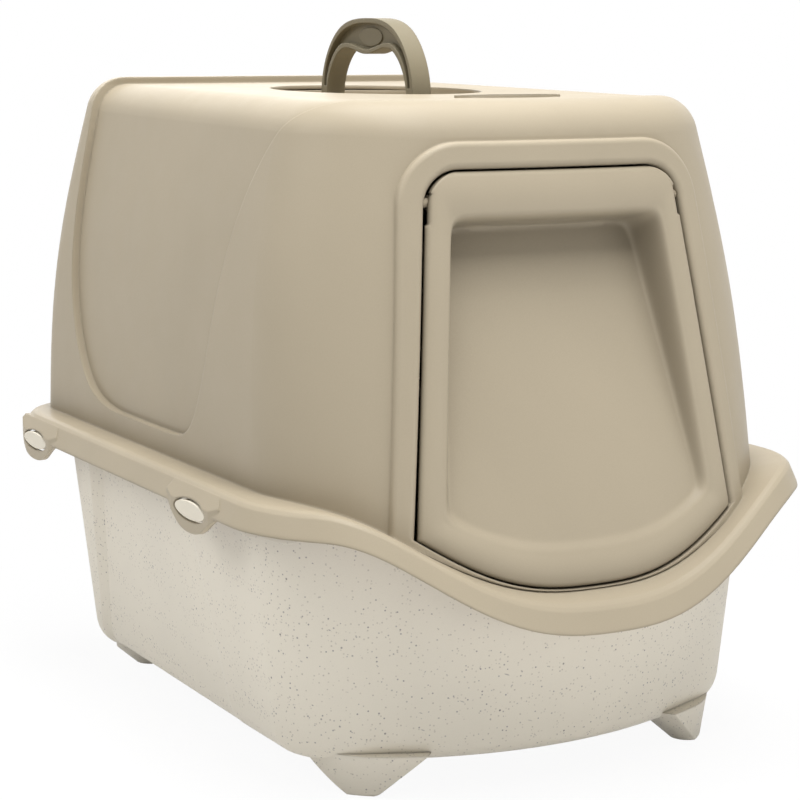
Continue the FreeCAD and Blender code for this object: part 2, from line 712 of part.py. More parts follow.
def dish_depth(x, z):
    """How far the flap's face lies back, from its distance to the doorway's outline."""
    side = DOOR_HIGH_HALF + (DOOR_HIGH_Z - z) * DOOR_SLOPE - abs(x) - BAND_SIDE
    top = DOOR_TOP_Z - z - BAND_TOP
    low = z - edge_z(x) - DOOR_SILL_RISE - BAND_LOW
    reach = DOOR_TOP_Z - BAND_TOP - DISH_ROLL
    foot = edge_z(0) + DOOR_SILL_RISE + BAND_LOW
    share = max(0.0, min(1.0, (z - foot) / (reach - foot)))
    deep = DISH_SHALLOW + (DISH_DEPTH - DISH_SHALLOW) * share
    roll = DISH_ROLL * (0.45 + 0.55 * share)
    return deep * smooth(soft_least((side, top, low)) / roll)


def flap_block(lead, behind):
    """Everything behind the flap's face, or behind a face that lies further back."""
    wide = DOOR_LOW_HALF + 8.0
    z0 = edge_z(0) + DOOR_SILL_RISE - 10.0
    rows = []
    for z in steps(z0, DOOR_TOP_Z + 8.0, 40):
        row = []
        for x in steps(-wide, wide, 36):
            e = 0.5
            slope_x = (dish_depth(x + e, z) - dish_depth(x - e, z)) / (2 * e)
            slope_z = (dish_depth(x, z + e) - dish_depth(x, z - e)) / (2 * e)
            back = behind * math.sqrt(1 + slope_x ** 2 + slope_z ** 2)
            row.append(V(x, face_y(z, x) - lead + dish_depth(x, z) + back, z))
        rows.append(row)
    surface = Part.BSplineSurface()
    surface.interpolate(rows)
    return surface.toShape().extrude(V(0, HALF, 0))


def make_flap():
    lead = BEAD_RAISE - FLAP_BACK
    block = flap_block(lead, 0.0)
    shape = door_prism(DOOR_GAP, DOOR_ROUND - DOOR_GAP).common(block.cut(flap_block(lead, FLAP_T)))
    side = JAMB_X - DOOR_GAP
    outer = side - NOTCH_WIDE
    inner = side - PIN_IN - 4
    rod = rod_x(inner, outer, FLAP_AXIS_Y, FLAP_AXIS_Z, PIN_R + 2.0)
    web = box(inner, outer, FLAP_AXIS_Y - 8, FLAP_AXIS_Y, FLAP_AXIS_Z - 4.0, FLAP_AXIS_Z + 4.0)
    barrel = fuse([rod, web]).common(block)
    notch = box(outer, side + 20, -FAR, 0, FLAP_AXIS_Z - NOTCH_TALL + PIN_R + 1, FLAP_AXIS_Z + PIN_R + 1)
    hole = rod_x(side - PIN_IN, JAMB_X + 5, FLAP_AXIS_Y, FLAP_AXIS_Z, PIN_R)
    shape = fuse([shape, barrel, mirrored(barrel)])
    return shape.cut([notch, mirrored(notch), hole, mirrored(hole)])


def make_flap_pin(side):
    x0 = JAMB_X - DOOR_GAP - PIN_IN
    x1 = JAMB_X + PIN_OUT
    pin = rod_x(x0, x1, FLAP_AXIS_Y, FLAP_AXIS_Z, PIN_R)
    edge = [e for e in pin.Edges if abs(e.BoundBox.XMin - x1) < 0.01 and abs(e.BoundBox.XMax - x1) < 0.01]
    pin = pin.makeChamfer(0.8, edge)
    return pin if side > 0 else mirrored(pin)


# Handle

def arch(points):
    return [V(0, HANDLE_Y + y, HANDLE_AXIS_Z + z) for y, z in points]


def arch_prism(outer, inner, depth):
    """Block between two curves that are given by their left halves."""
    def whole(half):
        return spline(arch(half + [(-y, z) for y, z in reversed(half[:-1])]))
    ends = [arch([q])[0] for q in (outer[0], inner[0])]
    far = [arch([(-q[0], q[1])])[0] for q in (outer[0], inner[0])]
    edges = [whole(outer), Part.makeLine(far[0], far[1]), whole(inner), Part.makeLine(ends[1], ends[0])]
    return prism(Part.Wire(edges), V(depth, 0, 0))


HANDLE_LEG = 9.0
HANDLE_RIB = 3.2       # edge left round the pockets
HANDLE_WEB = 2.0       # half the web between the pockets


def make_handle():
    h = HANDLE_SPAN / 2
    top = HANDLE_RISE
    leg = HANDLE_LEG
    rib = HANDLE_RIB
    half = HANDLE_WIDE / 2
    outer = [(-h, 0), (3 - h, top * 0.45), (-h * 0.62, top * 0.87), (0, top)]
    inner = [(leg - h, 0), (leg + 4 - h, top * 0.40), (-h * 0.52, top * 0.66), (0, top * 0.60)]
    body = arch_prism(outer, inner, HANDLE_WIDE)
    body.translate(V(-half, 0, 0))
    low = half + 7
    outer = [(rib - h, low), (rib + 3 - h, top * 0.45), (-h * 0.60, top * 0.87 - rib), (0, top - rib)]
    inner = [(leg - 2.4 - h, low), (leg + 1.2 - h, top * 0.42),
             (-h * 0.55, top * 0.66 + 3), (0, top * 0.60 + 3)]
    pocket = arch_prism(outer, inner, half - HANDLE_WEB)
    for x in (-half - MID, HANDLE_WEB + MID):
        cut = pocket.copy()
        cut.translate(V(x, 0, 0))
        body = body.cut(cut)
    eyes = [rod_between(HANDLE_Y + s * h, HANDLE_Y + s * (h - leg), HANDLE_AXIS_Z, half) for s in (-1, 1)]
    oval = ellipse_x(-2.9, HANDLE_Y, HANDLE_AXIS_Z + top * 0.79, 34, 13, 5.8)
    body = fuse([body, oval] + eyes)
    ends = (h + 1, h - leg + 2)
    return body.cut([rod_between(HANDLE_Y + s * ends[0], HANDLE_Y + s * ends[1], HANDLE_AXIS_Z, PIN_R)
                     for s in (-1, 1)])


def make_handle_pin(side):
    h = HANDLE_SPAN / 2
    ends = (h - HANDLE_LEG + 2, h + LUG_GAP + LUG_T)
    return rod_between(HANDLE_Y + side * ends[0], HANDLE_Y + side * ends[1], HANDLE_AXIS_Z, PIN_R)


# Filter pad and the slotted drawer that carries it

DRAWER_T = 2.0
PAD_GAP = 0.3          # pad to the drawer's walls
PAD_UNDER = 0.6        # pad's top below the recess
SLOTS = 9


def make_pad():
    z = RECESS_FLOOR_Z - WALL - PAD_UNDER - PAD[2]
    pad = box(-PAD[0] / 2, PAD[0] / 2, HANDLE_Y - PAD[1] / 2, HANDLE_Y + PAD[1] / 2, z, z + PAD[2])
    edges = [e for e in pad.Edges if e.BoundBox.ZLength > 1]
    return pad.makeFillet(3.0, edges)


def make_drawer():
    t = DRAWER_T
    z1 = RECESS_FLOOR_Z - WALL - PAD_UNDER - PAD[2]
    z0 = z1 - t
    x = PAD[0] / 2 + PAD_GAP
    y = PAD[1] / 2 + PAD_GAP
    tub = box(-x - t, x + t, HANDLE_Y - y - t, HANDLE_Y + y + t, z0, z1 + PAD[2] * 0.75)
    tub = tub.cut(box(-x, x, HANDLE_Y - y, HANDLE_Y + y, z1, z1 + PAD[2]))
    pitch = 2 * (y - 6) / SLOTS
    for i in range(SLOTS):
        c = HANDLE_Y - y + 6 + (i + 0.5) * pitch
        slots = [slab(s * 2, s * (x - 6), c - 3, c + 3, z0 - 1, z1 + 1) for s in (-1, 1)]
        tub = tub.cut(slots)
    rail_z = RECESS_FLOOR_Z - WALL - RAIL_DROP
    reach = PAD[0] / 2 + 6.5 - NEAR
    wings = [slab(s * x, s * reach, HANDLE_Y - y, HANDLE_Y + y, rail_z, rail_z + 2) for s in (-1, 1)]
    wings = [w.cut(box(-x, x, -FAR, FAR, 0, FAR)) for w in wings]
    pull = box(-14, 14, HANDLE_Y + y + t - MID, HANDLE_Y + y + t + 8, z0, z0 + t)
    return fuse([tub, pull] + wings)


def save(shape, name):
    solid = shape.Solids[0] if len(shape.Solids) == 1 else shape
    solid.exportStep("parts/" + name + ".step")


save(make_tray(), "tray")
save(make_hood(), "hood")
save(make_flap(), "flap")
for s, word in ((-1, "left"), (1, "right")):
    save(make_flap_pin(s), "flap_pin_" + word)
    save(make_stud(s, STUD_FRONT_Y), "stud_front_" + word)
    save(make_stud(s, STUD_REAR_Y), "stud_rear_" + word)
save(make_handle(), "handle")
for s, word in ((-1, "front"), (1, "rear")):
    save(make_handle_pin(s), "handle_pin_" + word)
save(make_pad(), "filter_pad")
save(make_drawer(), "filter_drawer")
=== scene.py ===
import math

import bmesh
import bpy
from mathutils import Matrix, Vector, noise


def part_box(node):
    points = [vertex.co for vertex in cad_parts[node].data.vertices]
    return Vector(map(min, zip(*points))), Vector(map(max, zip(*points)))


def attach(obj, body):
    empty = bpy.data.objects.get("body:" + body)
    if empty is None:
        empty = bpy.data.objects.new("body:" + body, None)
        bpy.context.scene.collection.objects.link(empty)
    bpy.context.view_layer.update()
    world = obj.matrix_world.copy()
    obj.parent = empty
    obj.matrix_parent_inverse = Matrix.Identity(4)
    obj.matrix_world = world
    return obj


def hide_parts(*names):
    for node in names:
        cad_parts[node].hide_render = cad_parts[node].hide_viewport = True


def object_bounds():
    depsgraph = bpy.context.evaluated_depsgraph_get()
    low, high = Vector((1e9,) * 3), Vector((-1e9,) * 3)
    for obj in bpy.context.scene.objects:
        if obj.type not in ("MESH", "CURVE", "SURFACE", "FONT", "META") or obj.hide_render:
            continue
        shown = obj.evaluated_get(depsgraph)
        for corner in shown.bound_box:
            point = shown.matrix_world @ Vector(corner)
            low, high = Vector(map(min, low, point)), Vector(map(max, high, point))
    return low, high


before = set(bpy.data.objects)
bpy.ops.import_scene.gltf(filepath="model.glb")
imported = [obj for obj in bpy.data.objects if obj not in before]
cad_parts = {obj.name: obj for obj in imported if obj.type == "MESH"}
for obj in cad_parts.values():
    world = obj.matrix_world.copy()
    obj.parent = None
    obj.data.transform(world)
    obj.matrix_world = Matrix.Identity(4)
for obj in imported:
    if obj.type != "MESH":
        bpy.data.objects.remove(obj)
CAD_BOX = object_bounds()

# Camera of the photograph, in metres and degrees
CAMERA_AT = (-0.7405, -1.3648, 0.4572)
CAMERA_ALONG = (0.4703, 0.8684, -0.1568)
CAMERA_VIEW = 20.0
CAMERA_END = 60.0

# Colours as they look on screen, 0 to 255
TAN = (180, 168, 146)
TAN_HANDLE = (140, 131, 109)
TAN_INNER = (170, 158, 136)
CREAM = (229, 222, 207)
CREAM_SHADE = (176, 168, 162)
STUD = (234, 226, 208)
SPECK = (126, 119, 122)
SPECK_WARM = (170, 160, 148)
FELT = (46, 46, 48)
FELT_LIGHT = (86, 86, 88)

# Moulded plastic; a noise is its scale, detail and roughness, a length is in metres
PLASTIC_IOR = 1.47
SPECULAR = 0.18          # satin plastic gives little mirror light
WEAR_AND_HIGHLIGHT_WIDTH = 0.0008            # width of the paler line on edges, for wear and painted highlight
EDGE_TURN = 0.86         # cosine of the turn that counts as a whole edge
EDGE_SAMPLES = 8
CREST_SAMPLES = 4
SHELTER_SAMPLES = 6
MIDDLE = (0.3, 0.7)      # the band that a noise mostly keeps to
FLOW = (7.0, 3.0, 0.55)
FLOW_TURN = (0.2, 0.5, 0.3)
FLOW_STRETCH = (1.0, 1.0, 0.35)
FLOW_GAIN = (0.955, 1.04)           # darkest and lightest flow marks
GRAIN = (1500.0, 2.0, 0.6)
GRAIN_BAND = (0.35, 0.65)
GRAIN_SHARE = 0.10
GRAIN_GAIN = 0.72
PATCHES = (38.0, 3.0, 0.6)
WEAR_AND_HIGHLIGHT_BAND = (0.35, 0.7)
WEAR_AND_HIGHLIGHT_SHARE = (0.30, 0.60)           # least and most wear and painted highlight on an edge
WEAR_AND_HIGHLIGHT_GAIN = 1.30
SHADE_AND_DUST_BAND = (0.35, 0.95)            # openness of shaded, dusty corners and of open faces, for painted shade and dust
SHADE_AND_DUST_GAIN = 0.45
RIPPLE = (26.0, 2.0)
RIPPLE_BUMP = (0.06, 0.0012)        # strength and depth
GRAIN_BUMP = (0.10, 0.00012)
GLOSS_PATCH = 0.045      # how far patches and grain change the roughness
GLOSS_GRAIN = 0.03

# Speckled plastic
TRAY_EDGE = 0.0018
TRAY_ROUGH = (0.46, 0.56)
CLOUDS = (9.0, 3.0, 0.55)
CLOUD_GAIN = (0.965, 1.03)
TRAY_GRAIN = (1300.0, 2.0, 0.6)
TRAY_GRAIN_BAND = (0.4, 0.7)
TRAY_GRAIN_GAIN = 0.80
CROWDS = (24.0, 2.0, 0.5)
CROWD_BAND = (0.32, 0.68)
CROWD_SWAY = 0.10        # how far crowds change the share of plain cells
TRAY_RIPPLE = (22.0, 2.0)
TRAY_GRAIN_BUMP = (0.14, 0.00015)
SPECK_CORE = 0.55        # share of a speck that is fully dark
SPECK_FAINT = 0.45       # strength of the faintest speck against the strongest
SPECKS = ((420.0, 0.30, 0.62, SPECK_WARM, 1.0, 0.62),
          (340.0, 0.24, 0.70, SPECK, 1.0, 0.85),
          (150.0, 0.125, 0.78, SPECK, 0.7, 0.9))
FIBRES = (300.0, 0.15, 0.86, SPECK, 1.0, 0.65)    # scale, size, plain share, colour, gain, strength
FIBRE_STRETCH = (1.0, 1.0, 0.22)
FIBRE_TURNS = ((0.3, 1.2, 0.2), (1.1, 0.2, 1.9), (0.8, 2.2, 0.7))
SHADE_FROM = 0.055       # painted shade: height above which the tray is painted greyer under the skirt
SHADE_FULL = 0.125
SHADE_REACH = 0.075
SHADE_BAND = (0.25, 0.92)
SHADE_SHARE = 0.85

# Felt
STRANDS = (520.0, 4.0, 0.7)
STRAND_STRETCH = (1.0, 0.18, 1.0)
STRAND_TURNS = ((0.1, 0.0, 0.5), (0.0, 0.2, 2.1), (0.3, 0.0, 1.2))
STRAND_BAND = (0.5, 0.78)
LUMPS = (70.0, 4.0, 0.6)
LUMP_SHARE = 0.35
LUMP_GAIN = 0.4
FELT_BAND = (0.4, 0.8)
FELT_ROUGH = (0.88, 0.98)
FELT_SHEEN = 0.25
FELT_BUMP = (0.6, 0.0006)
PAD_EDGE = 0.0022        # rounding of the pad's edges
PAD_STEPS = 4
PAD_LONG = 0.02          # edges longer than this are divided
PAD_CUTS = 26
PAD_SINK = 0.0003        # the face lies this far inside the pad's box
PAD_LUMP = 0.00028
PAD_NOISE = ((90.0, 0.5), (320.0, 0.35))    # scale and share

# The door's face and outline in mm, as the part's source has them
MM = 1000.0              # millimetres in a metre
PLANS = ((188.0, 175.0, -232.0, 90.0, 10.0),
         (310.0, 166.0, -208.5, 83.0, 8.0),
         (421.0, 143.0, -187.0, 75.0, 6.0))    # height, half width, front, corner, corner's turn
FACE_LEAD = 3.5          # flap's face before the hood's face
DOOR_FOOT_HALF, DOOR_FOOT_Z = 113.5, 166.7
DOOR_HEAD_HALF, DOOR_HEAD_Z = 88.5, 381.0
DOOR_LEAN = (DOOR_FOOT_HALF - DOOR_HEAD_HALF) / (DOOR_HEAD_Z - DOOR_FOOT_Z)
DOOR_ROUND = 25.0
RIM_TOP = 186.5
RIM_DIP = 62.5           # depth of the dip in the rim, its half width and its shape
DIP_HALF = 172.0
DIP_POWER = 1.45
SILL_RISE = 7.0
HINGE_Y, HINGE_Z = -190.79, 362.0

# The flap's own form in mm
FLAP_GAP = 1.1
FLAP_THICK = 2.6
FLAP_EDGE = 2.4          # rounding of the outer edge
CROWN = 1.6              # swell of the border
BORDER_TOP, BORDER_FOOT = 25.0, 20.0
BORDERS = (14.5, BORDER_TOP, BORDER_FOOT)    # width of the border at the sides, top and foot
BORDER_BLEND = 0.28      # per mm: how tightly the border turns its corners
WALL_RUN = 9.0           # width of the wall from the border down to the dish
WALL_FOOT = 0.6          # share of that width at the foot
WALL_POWER = 1.9         # how slowly the border rolls into the wall
WALL_BLEND = 6.0         # how tightly the wall ends in the dish
CROWN_BLEND = 9.0        # how tightly the swell turns its corners
DISH_TOP, DISH_FOOT = 29.0, 2.2
SLOT_FROM, SLOT_TO = 349.0, 368.0            # heights of the slot beside each hinge
SLOT_WIDTH = 1.6
SLOT_RUN = 6.0           # the border gives way to the slot over this width
BARREL_RADIUS = 4.6      # hinge barrel, with its ends counted from the flap's edge
BARREL_INNER, BARREL_OUTER = 12.0, 2.6
BARREL_SIDES = 40
SHARP = 50.0             # degrees
COLUMNS, ROWS = 200, 150

# Lamps: name, place, target, size and power
LAMPS = (
    ("top_softbox", (0.0, 0.0, 2.0), (0.0, 0.0, 0.3), (1.4, 1.4), 36.0),
    ("front_key", (0.0, -1.0, 1.9), (0.0, -0.15, 0.3), (0.8, 0.8), 20.0),
    ("left_fill", (-1.5, 0.3, 1.4), (0.0, 0.0, 0.3), (1.0, 0.9), 9.8),
    ("right_fill", (1.9, -1.7, 0.7), (0.0, 0.0, 0.2), (1.2, 0.9), 2.2),
    ("low_fill", (0.7, -2.3, 0.25), (0.05, -0.1, 0.08), (1.6, 0.4), 4.5),
    ("back_fill", (0.4, 2.3, 1.0), (0.0, 0.0, 0.3), (1.4, 1.0), 6.0),
)

# World and floor: white to the rays that see them, grey for the light that they give
SEEN = ("Is Camera Ray", "Is Glossy Ray", "Is Transmission Ray")
WORLD_LIGHT = 0.10
FLOOR_LIGHT = 0.93
FLOOR_HALF = 14.0
FLOOR_DROP = 0.0004      # keeps the floor clear of the feet
SHADOW_FULL = 0.34       # metres from the middle where the shadow starts to fade
SHADOW_END = 0.52
SHADOW_LIFT = 0.94       # share of plain white in the floor near the object


def linear(rgb, gain=1.0):
    """A screen colour as the shader wants it."""
    out = []
    for c in rgb:
        c = c / 255.0
        c = c / 12.92 if c <= 0.04045 else ((c + 0.055) / 1.055) ** 2.4
        out.append(c * gain)
    return (out[0], out[1], out[2], 1.0)


class Nodes:
    """A material's node tree with short calls."""

    def __init__(self, name):
        self.material = bpy.data.materials.new(name)
        self.material.use_nodes = True
        self.tree = self.material.node_tree
        self.tree.nodes.clear()
        self.out = self.add("ShaderNodeOutputMaterial")
        self.shader = self.add("ShaderNodeBsdfPrincipled")
        self.link(self.shader.outputs[0], self.out.inputs[0])
        self.place = self.add("ShaderNodeTexCoord").outputs["Object"]

    def add(self, kind, **settings):
        node = self.tree.nodes.new(kind)
        for key, value in settings.items():
            setattr(node, key, value)
        return node

    def link(self, a, b):
        self.tree.links.new(a, b)

    def put(self, socket, value):
        """A socket gets a link or a plain value."""
        if isinstance(value, bpy.types.NodeSocket):
            self.link(value, socket)
        else:
            socket.default_value = value

    def plastic(self, base, rough):
        """The shader's settings that all plastics share."""
        self.put(self.shader.inputs["Base Color"], base)
        self.put(self.shader.inputs["Roughness"], rough)
        self.shader.inputs["IOR"].default_value = PLASTIC_IOR
        self.shader.inputs["Specular IOR Level"].default_value = SPECULAR

    def noise(self, scale, detail=2.0, rough=0.5, place=None):
        node = self.add("ShaderNodeTexNoise")
        self.link(place or self.place, node.inputs["Vector"])
        node.inputs["Scale"].default_value = scale
        node.inputs["Detail"].default_value = detail
        node.inputs["Roughness"].default_value = rough
        return node.outputs["Fac"]

    def span(self, value, a, b, low, high, smooth=False):
        """The value's range a to b becomes low to high."""
        node = self.add("ShaderNodeMapRange")
        if smooth:
            node.interpolation_type = "SMOOTHSTEP"
        self.put(node.inputs[0], value)
        for index, number in enumerate((a, b, low, high)):
            self.put(node.inputs[index + 1], number)
        return node.outputs[0]

    def math(self, operation, a, b=0.0):
        node = self.add("ShaderNodeMath", operation=operation)
        self.put(node.inputs[0], a)
        self.put(node.inputs[1], b)
        return node.outputs[0]

    def mix(self, share, a, b):
        node = self.add("ShaderNodeMix", data_type="RGBA")
        self.put(node.inputs[0], share)
        self.put(node.inputs[6], a)
        self.put(node.inputs[7], b)
        return node.outputs[2]

    def cells(self, scale, place=None):
        """Distance to the middle of a cell, and two numbers that each cell has."""
        node = self.add("ShaderNodeTexVoronoi")
        self.link(place or self.place, node.inputs["Vector"])
        node.inputs["Scale"].default_value = scale
        split = self.add("ShaderNodeSeparateColor")
        self.link(node.outputs["Color"], split.inputs[0])
        return node.outputs["Distance"], split.outputs[0], split.outputs[1]

    def turned(self, turn, stretch):
        """The place turned and stretched, for streaks that lie one way."""
        spin = self.add("ShaderNodeVectorRotate", rotation_type="EULER_XYZ")
        self.link(self.place, spin.inputs["Vector"])
        spin.inputs["Rotation"].default_value = turn
        scale = self.add("ShaderNodeVectorMath", operation="MULTIPLY")
        self.link(spin.outputs[0], scale.inputs[0])
        scale.inputs[1].default_value = stretch
        return scale.outputs[0]

    def soft_edges(self, radius, samples=EDGE_SAMPLES):
        node = self.add("ShaderNodeBevel", samples=samples)
        node.inputs["Radius"].default_value = radius
        return node.outputs[0]

    def bump(self, height, strength, distance, normal=None):
        node = self.add("ShaderNodeBump")
        node.inputs["Strength"].default_value = strength
        node.inputs["Distance"].default_value = distance
        self.link(height, node.inputs["Height"])
        if normal is not None:
            self.link(normal, node.inputs["Normal"])
        return node.outputs[0]

    def edge_share(self, normal):
        """How much a soft edge turns the surface, 0 on flats."""
        flat = self.add("ShaderNodeNewGeometry").outputs["Normal"]
        dot = self.add("ShaderNodeVectorMath", operation="DOT_PRODUCT")
        self.link(normal, dot.inputs[0])
        self.link(flat, dot.inputs[1])
        return self.span(dot.outputs["Value"], 1.0, EDGE_TURN, 0.0, 1.0)

    def shelter(self, reach):
        """How open the surface is, 0 in deep corners."""
        node = self.add("ShaderNodeAmbientOcclusion", samples=SHELTER_SAMPLES)
        node.inputs["Distance"].default_value = reach
        return node.outputs["AO"]


def seen_share(tree):
    """1 for the rays that see a surface, 0 for those that carry its light."""
    rays = tree.nodes.new("ShaderNodeLightPath")
    total = rays.outputs[SEEN[0]]
    for name in SEEN[1:]:
        top = tree.nodes.new("ShaderNodeMath")
        top.operation = "MAXIMUM"
        tree.links.new(total, top.inputs[0])
        tree.links.new(rays.outputs[name], top.inputs[1])
        total = top.outputs[0]
    return total


def moulded_plastic(name, colour, edge=0.0016, rough=0.42, shade_and_dust=0.10, reach=0.012):
    """Satin moulded plastic: faint flow marks, fine grain, paler edges from wear and painted
    highlight, and dust with painted shade in corners and hollows.
    """
    m = Nodes(name)
    flow = m.noise(*FLOW, m.turned(FLOW_TURN, FLOW_STRETCH))
    grain = m.noise(*GRAIN)
    patch = m.noise(*PATCHES)
    tones = [linear(colour, gain) for gain in FLOW_GAIN]
    base = m.mix(m.span(flow, *MIDDLE, 0.0, 1.0), *tones)
    base = m.mix(m.span(grain, *GRAIN_BAND, 0.0, GRAIN_SHARE), base, linear(colour, GRAIN_GAIN))
    # wear and painted highlight: edges are painted paler, as where they would catch light
    crest = m.soft_edges(min(edge, WEAR_AND_HIGHLIGHT_WIDTH), CREST_SAMPLES)
    wear_and_highlight = m.math("MULTIPLY", m.edge_share(crest), m.span(patch, *WEAR_AND_HIGHLIGHT_BAND, *WEAR_AND_HIGHLIGHT_SHARE))
    base = m.mix(wear_and_highlight, base, linear(colour, WEAR_AND_HIGHLIGHT_GAIN))
    # painted shade and dust: the colour darkens where the surface is sheltered, in corners and
    # hollows
    painted_shade_and_dust = m.span(m.shelter(reach), *SHADE_AND_DUST_BAND, shade_and_dust, 0.0)
    base = m.mix(painted_shade_and_dust, base, linear(colour, SHADE_AND_DUST_GAIN))
    gloss = m.math("ADD", m.span(patch, *MIDDLE, rough - GLOSS_PATCH, rough + GLOSS_PATCH),
                   m.span(grain, *MIDDLE, -GLOSS_GRAIN, GLOSS_GRAIN))
    m.plastic(base, gloss)
    ripple = m.bump(m.noise(*RIPPLE), *RIPPLE_BUMP, m.soft_edges(edge))
    m.put(m.shader.inputs["Normal"], m.bump(grain, *GRAIN_BUMP, ripple))
    return m.material


def specks(m, base, crowd, kind, place=None):
    """Specks over a base: size is a share of a cell, plain the share of cells without one."""
    scale, size, plain, colour, gain, deep = kind
    distance, pick, shade = m.cells(scale, place)
    limit = m.span(crowd, *CROWD_BAND, plain + CROWD_SWAY, plain - CROWD_SWAY)
    chosen = m.math("GREATER_THAN", pick, limit)
    dot = m.span(distance, size * SPECK_CORE, size, 1.0, 0.0, True)
    strength = m.span(shade, 0.0, 1.0, deep * SPECK_FAINT, deep)
    share = m.math("MULTIPLY", m.math("MULTIPLY", dot, chosen), strength)
    return m.mix(share, base, linear(colour, gain))


def speckled_plastic(name, colour):
    """Cream recycled plastic with fine dark specks and short fibres, and painted shade that greys
    it under the skirt.
    """
    m = Nodes(name)
    cloud = m.noise(*CLOUDS)
    grain = m.noise(*TRAY_GRAIN)
    crowd = m.noise(*CROWDS)
    tones = [linear(colour, gain) for gain in CLOUD_GAIN]
    base = m.mix(m.span(cloud, *MIDDLE, 0.0, 1.0), *tones)
    darker = linear(colour, TRAY_GRAIN_GAIN)
    base = m.mix(m.span(grain, *TRAY_GRAIN_BAND, 0.0, GRAIN_SHARE), base, darker)
    for kind in SPECKS:
        base = specks(m, base, crowd, kind)
    for turn in FIBRE_TURNS:
        base = specks(m, base, crowd, FIBRES, m.turned(turn, FIBRE_STRETCH))
    # painted shade: high up and where sheltered, the tray is painted greyer, as in the skirt's
    # shadow
    split = m.add("ShaderNodeSeparateXYZ")
    m.link(m.place, split.inputs[0])
    high = m.span(split.outputs["Z"], SHADE_FROM, SHADE_FULL, 0.0, 1.0, True)
    shade = m.span(m.shelter(SHADE_REACH), *SHADE_BAND, SHADE_SHARE, 0.0)
    base = m.mix(m.math("MULTIPLY", shade, high), base, linear(CREAM_SHADE))
    m.plastic(base, m.span(cloud, *MIDDLE, *TRAY_ROUGH))
    ripple = m.bump(m.noise(*TRAY_RIPPLE), *RIPPLE_BUMP, m.soft_edges(TRAY_EDGE))
    m.put(m.shader.inputs["Normal"], m.bump(grain, *TRAY_GRAIN_BUMP, ripple))
    return m.material


def felt(name):
    """Carbon felt: matted fibres with paler strands."""
    m = Nodes(name)
    strands = [m.noise(*STRANDS, m.turned(turn, STRAND_STRETCH)) for turn in STRAND_TURNS]
    mat = m.math("MAXIMUM", m.math("MAXIMUM", strands[0], strands[1]), strands[2])
    lumps = m.noise(*LUMPS)
    base = m.mix(m.span(mat, *STRAND_BAND, 0.0, 1.0), linear(FELT), linear(FELT_LIGHT))
    base = m.mix(m.span(lumps, *MIDDLE, 0.0, LUMP_SHARE), base, linear(FELT, LUMP_GAIN))
    m.put(m.shader.inputs["Base Color"], base)
    m.put(m.shader.inputs["Roughness"], m.span(mat, *FELT_BAND, *FELT_ROUGH))
    m.shader.inputs["Sheen Weight"].default_value = FELT_SHEEN
    m.put(m.shader.inputs["Normal"], m.bump(mat, *FELT_BUMP))
    return m.material


PLASTIC = {
    # painted shade: the hood's hollows and, reaching far, the flap's dish are darkened in colour to
    # stand in for their shadow
    "hood": moulded_plastic("tan_shell", TAN, edge=0.0020, shade_and_dust=0.42, reach=0.018),
    "flap": moulded_plastic("tan_flap", TAN, edge=0.0022, shade_and_dust=0.80, reach=0.140),
    "handle": moulded_plastic("tan_handle", TAN_HANDLE, edge=0.0012, rough=0.46),
    "filter_drawer": moulded_plastic("drawer_tan", TAN_INNER, edge=0.0006, rough=0.48),
    "tray": speckled_plastic("speckled_cream", CREAM),
}
PIN = moulded_plastic("pin_tan", TAN_INNER, edge=0.0004, rough=0.40)
STUD_CREAM = moulded_plastic("stud_cream", STUD, edge=0.0005, rough=0.38, shade_and_dust=0.06)

for name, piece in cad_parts.items():
    material = PLASTIC.get(name)
    if name.startswith("stud"):
        material = STUD_CREAM
    elif "_pin_" in name:
        material = PIN
    if material is not None:
        piece.data.materials.clear()
        piece.data.materials.append(material)


def smooth_piece(name, shape, material):
    """An object with smooth faces from a shape that is then let go."""
    mesh = bpy.data.meshes.new(name)
    shape.to_mesh(mesh)
    shape.free()
    for face in mesh.polygons:
        face.use_smooth = True
    mesh.materials.append(material)
    piece = bpy.data.objects.new(name, mesh)
    bpy.context.collection.objects.link(piece)
    return piece


def felt_pad():
    """The filter: a felt slab with soft edges and an uneven, matted face."""
    low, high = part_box("filter_pad")
    middle = (Vector(low) + Vector(high)) / 2
    half = (Vector(high) - Vector(low)) / 2
    shape = bmesh.new()
    bmesh.ops.create_cube(shape, size=2.0)
    for v in shape.verts:
        v.co = Vector((v.co.x * half.x, v.co.y * half.y, v.co.z * half.z))
    bmesh.ops.bevel(shape, geom=shape.edges[:], offset=PAD_EDGE, segments=PAD_STEPS,
                    affect="EDGES", profile=0.5)
    long = [e for e in shape.edges if e.calc_length() > PAD_LONG]
    bmesh.ops.subdivide_edges(shape, edges=long, cuts=PAD_CUTS, use_grid_fill=True)
    shape.normal_update()
    for v in shape.verts:
        lump = sum(noise.noise(v.co * scale) * share for scale, share in PAD_NOISE)
        v.co = v.co - v.normal * (PAD_SINK + PAD_LUMP * lump)
        v.co = v.co + middle
    pad = smooth_piece("filter_felt", shape, felt("carbon_felt"))
    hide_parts("filter_pad")
    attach(pad, "filter_body")


felt_pad()


def clamp(u):
    return max(0.0, min(1.0, u))


def smooth(u):
    u = clamp(u)
    return u * u * (3.0 - 2.0 * u)


def soft_least(values, tight):
    """The least of some values, with a soft change from one to another."""
    return -math.log(sum(math.exp(-tight * v) for v in values)) / tight


def face_y(x, z):
    """The hood's leaning, curved front."""
    low, high = PLANS[:2] if z <= PLANS[1][0] else PLANS[1:]
    s = (z - low[0]) / (high[0] - low[0])
    half, front, corner, turn = [a + (b - a) * s for a, b in zip(low[1:], high[1:])]
    radius = (half - corner) / math.sin(math.radians(turn)) + corner
    return front + radius - math.sqrt(radius * radius - x * x)


